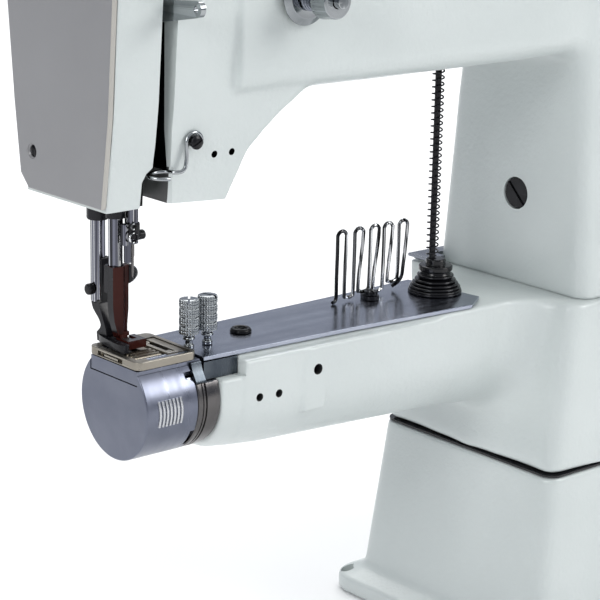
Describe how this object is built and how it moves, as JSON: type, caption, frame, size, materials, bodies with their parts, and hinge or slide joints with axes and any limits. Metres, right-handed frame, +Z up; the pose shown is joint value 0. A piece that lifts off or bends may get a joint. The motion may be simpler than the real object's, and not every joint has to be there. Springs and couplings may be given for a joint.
{
  "type": "leather sewing machine",
  "caption": "Cylinder-arm walking-foot sewing machine for leather, with handwheel, rotary hook, comb guide, foot lifter and pedestal.",
  "frame": {"origin": "centre of the pedestal's underside, below the column", "axes": "+X along the cylinder arm from the needle end to the handwheel, -Y towards the operator, +Z up"},
  "size_m": [0.4465, 0.194, 0.458],
  "materials": {
    "enamel": "pale mint-white orange-peel machine enamel",
    "plate_grey": "satin grey painted plate with a pale bevelled edge",
    "satin_steel": "fine brushed steel",
    "ring_steel": "turned steel, warm grey",
    "nickel": "satin nickel plate",
    "chrome": "bright chrome plate",
    "black_steel": "black oxide steel, semi-gloss",
    "brown_steel": "deep maroon-brown finish over steel",
    "rubber": "glossy black moulded rubber",
    "knob_plastic": "black plastic"
  },
  "bodies": {
    "stand": {"pedestal": "enamel", "base_gasket": "rubber", "bed_casting": "enamel", "upper_casting": "enamel", "top_cover": "enamel", "end_cover": "enamel", "ledge_cover": "satin_steel", "column_plug": "black_steel", "face_plate": "plate_grey", "face_plate_screw_low": "black_steel", "face_plate_screw_high": "black_steel", "hook_ring": "ring_steel", "saddle": "satin_steel", "binder_block": "satin_steel", "needle_plate": "nickel", "cover_plate": "satin_steel", "plate_screw": "black_steel", "comb_screw": "chrome", "comb_guide": "chrome", "bellows": "rubber", "outer_bush": "black_steel", "walking_bush": "black_steel", "thread_guide": "chrome", "thread_guide_screw": "black_steel", "tension_post": "chrome", "tension_disc": "chrome", "tension_spring": "satin_steel", "timing_belt": "rubber", "winder_base": "enamel", "bobbin_case": "satin_steel"},
    "drive_shaft": {"handwheel": "knob_plastic", "main_shaft": "satin_steel", "upper_pulley": "satin_steel", "crank_disc": "satin_steel"},
    "hook_shaft": {"rotary_hook": "chrome", "lower_shaft": "satin_steel", "lower_pulley": "satin_steel"},
    "bobbin_spool": {"bobbin": "chrome"},
    "cap_body": {"end_cap": "satin_steel"},
    "needle_unit": {"needle_bar": "chrome", "needle_clamp": "chrome", "needle_clamp_screw": "black_steel", "needle": "chrome"},
    "take_up": {"take_up_lever": "chrome"},
    "foot_lift": {"hand_lifter": "black_steel"},
    "presser_unit": {"outer_presser_bar": "chrome", "outer_foot": "black_steel", "outer_foot_screw": "black_steel"},
    "walking_unit": {"walking_bar": "chrome", "inner_foot": "brown_steel", "inner_foot_screw": "black_steel"},
    "push_rod": {"lifter_rod": "black_steel", "lifter_spring": "black_steel"},
    "feed": {"feed_dog": "nickel"},
    "dial": {"stitch_dial": "knob_plastic"},
    "reverse": {"reverse_lever": "black_steel"},
    "tension_nut": {"tension_knob": "chrome"},
    "thumb_left": {"thumbscrew_left": "chrome"},
    "thumb_right": {"thumbscrew_right": "chrome"},
    "winder": {"winder_spindle": "chrome"}
  },
  "joints": [
    {"name": "handwheel_spin", "type": "hinge", "parent": "stand", "child": "drive_shaft", "pos_m": [0.086, 0, 0.375], "axis": [1, 0, 0], "continuous": true},
    {"name": "hook_spin", "type": "hinge", "parent": "stand", "child": "hook_shaft", "pos_m": [-0.254, 0, 0.175], "axis": [1, 0, 0], "continuous": true},
    {"name": "bobbin_spin", "type": "hinge", "parent": "stand", "child": "bobbin_spool", "pos_m": [-0.292, 0, 0.175], "axis": [1, 0, 0], "continuous": true},
    {"name": "cap_pull", "type": "slide", "parent": "stand", "child": "cap_body", "axis": [-1, 0, 0], "range_m": [0, 0.034]},
    {"name": "needle_stroke", "type": "slide", "parent": "stand", "child": "needle_unit", "axis": [0, 0, -1], "range_m": [0, 0.035]},
    {"name": "take_up_swing", "type": "hinge", "parent": "stand", "child": "take_up", "pos_m": [-0.3125, -0.004, 0.363], "axis": [1, 0, 0], "range_deg": [0, 41]},
    {"name": "hand_lift", "type": "hinge", "parent": "stand", "child": "foot_lift", "pos_m": [-0.274, 0.05, 0.34], "axis": [0, -1, 0], "range_deg": [0, 70]},
    {"name": "presser_lift", "type": "slide", "parent": "stand", "child": "presser_unit", "axis": [0, 0, 1], "range_m": [0, 0.008]},
    {"name": "walking_lift", "type": "slide", "parent": "presser_unit", "child": "walking_unit", "axis": [0, 0, 1], "range_m": [0, 0.007]},
    {"name": "rod_lift", "type": "slide", "parent": "stand", "child": "push_rod", "axis": [0, 0, 1], "range_m": [0, 0.008], "deforming": ["lifter_spring"]},
    {"name": "feed_motion", "type": "slide", "parent": "stand", "child": "feed", "axis": [0, 1, 0], "range_m": [-0.003, 0.003]},
    {"name": "stitch_dial_turn", "type": "hinge", "parent": "stand", "child": "dial", "pos_m": [0.011, -0.062, 0.27], "axis": [0, -1, 0], "range_deg": [-150, 150]},
    {"name": "reverse_press", "type": "hinge", "parent": "stand", "child": "reverse", "pos_m": [0.011, -0.061, 0.222], "axis": [1, 0, 0], "range_deg": [-16, 16], "stiffness_Nm_per_rad": 0.6},
    {"name": "tension_turn", "type": "hinge", "parent": "stand", "child": "tension_nut", "pos_m": [-0.239, -0.065, 0.37], "axis": [0, -1, 0], "continuous": true},
    {"name": "thumbscrew_left_turn", "type": "hinge", "parent": "stand", "child": "thumb_left", "pos_m": [-0.272, -0.004, 0.205], "axis": [0, 0, 1], "continuous": true},
    {"name": "thumbscrew_right_turn", "type": "hinge", "parent": "stand", "child": "thumb_right", "pos_m": [-0.2602, -0.0034, 0.205], "axis": [0, 0, 1], "continuous": true},
    {"name": "winder_spin", "type": "hinge", "parent": "stand", "child": "winder", "pos_m": [0.006, -0.026, 0.44], "axis": [1, 0, 0], "continuous": true}
  ],
  "couplings": [
    {"joint": "hook_spin", "follows": "handwheel_spin", "ratio": 2},
    {"joint": "take_up_swing", "follows": "needle_stroke", "rad_per_m": 20},
    {"joint": "presser_lift", "follows": "hand_lift", "m_per_rad": 0.0065},
    {"joint": "rod_lift", "follows": "hand_lift", "m_per_rad": 0.0065}
  ]
}
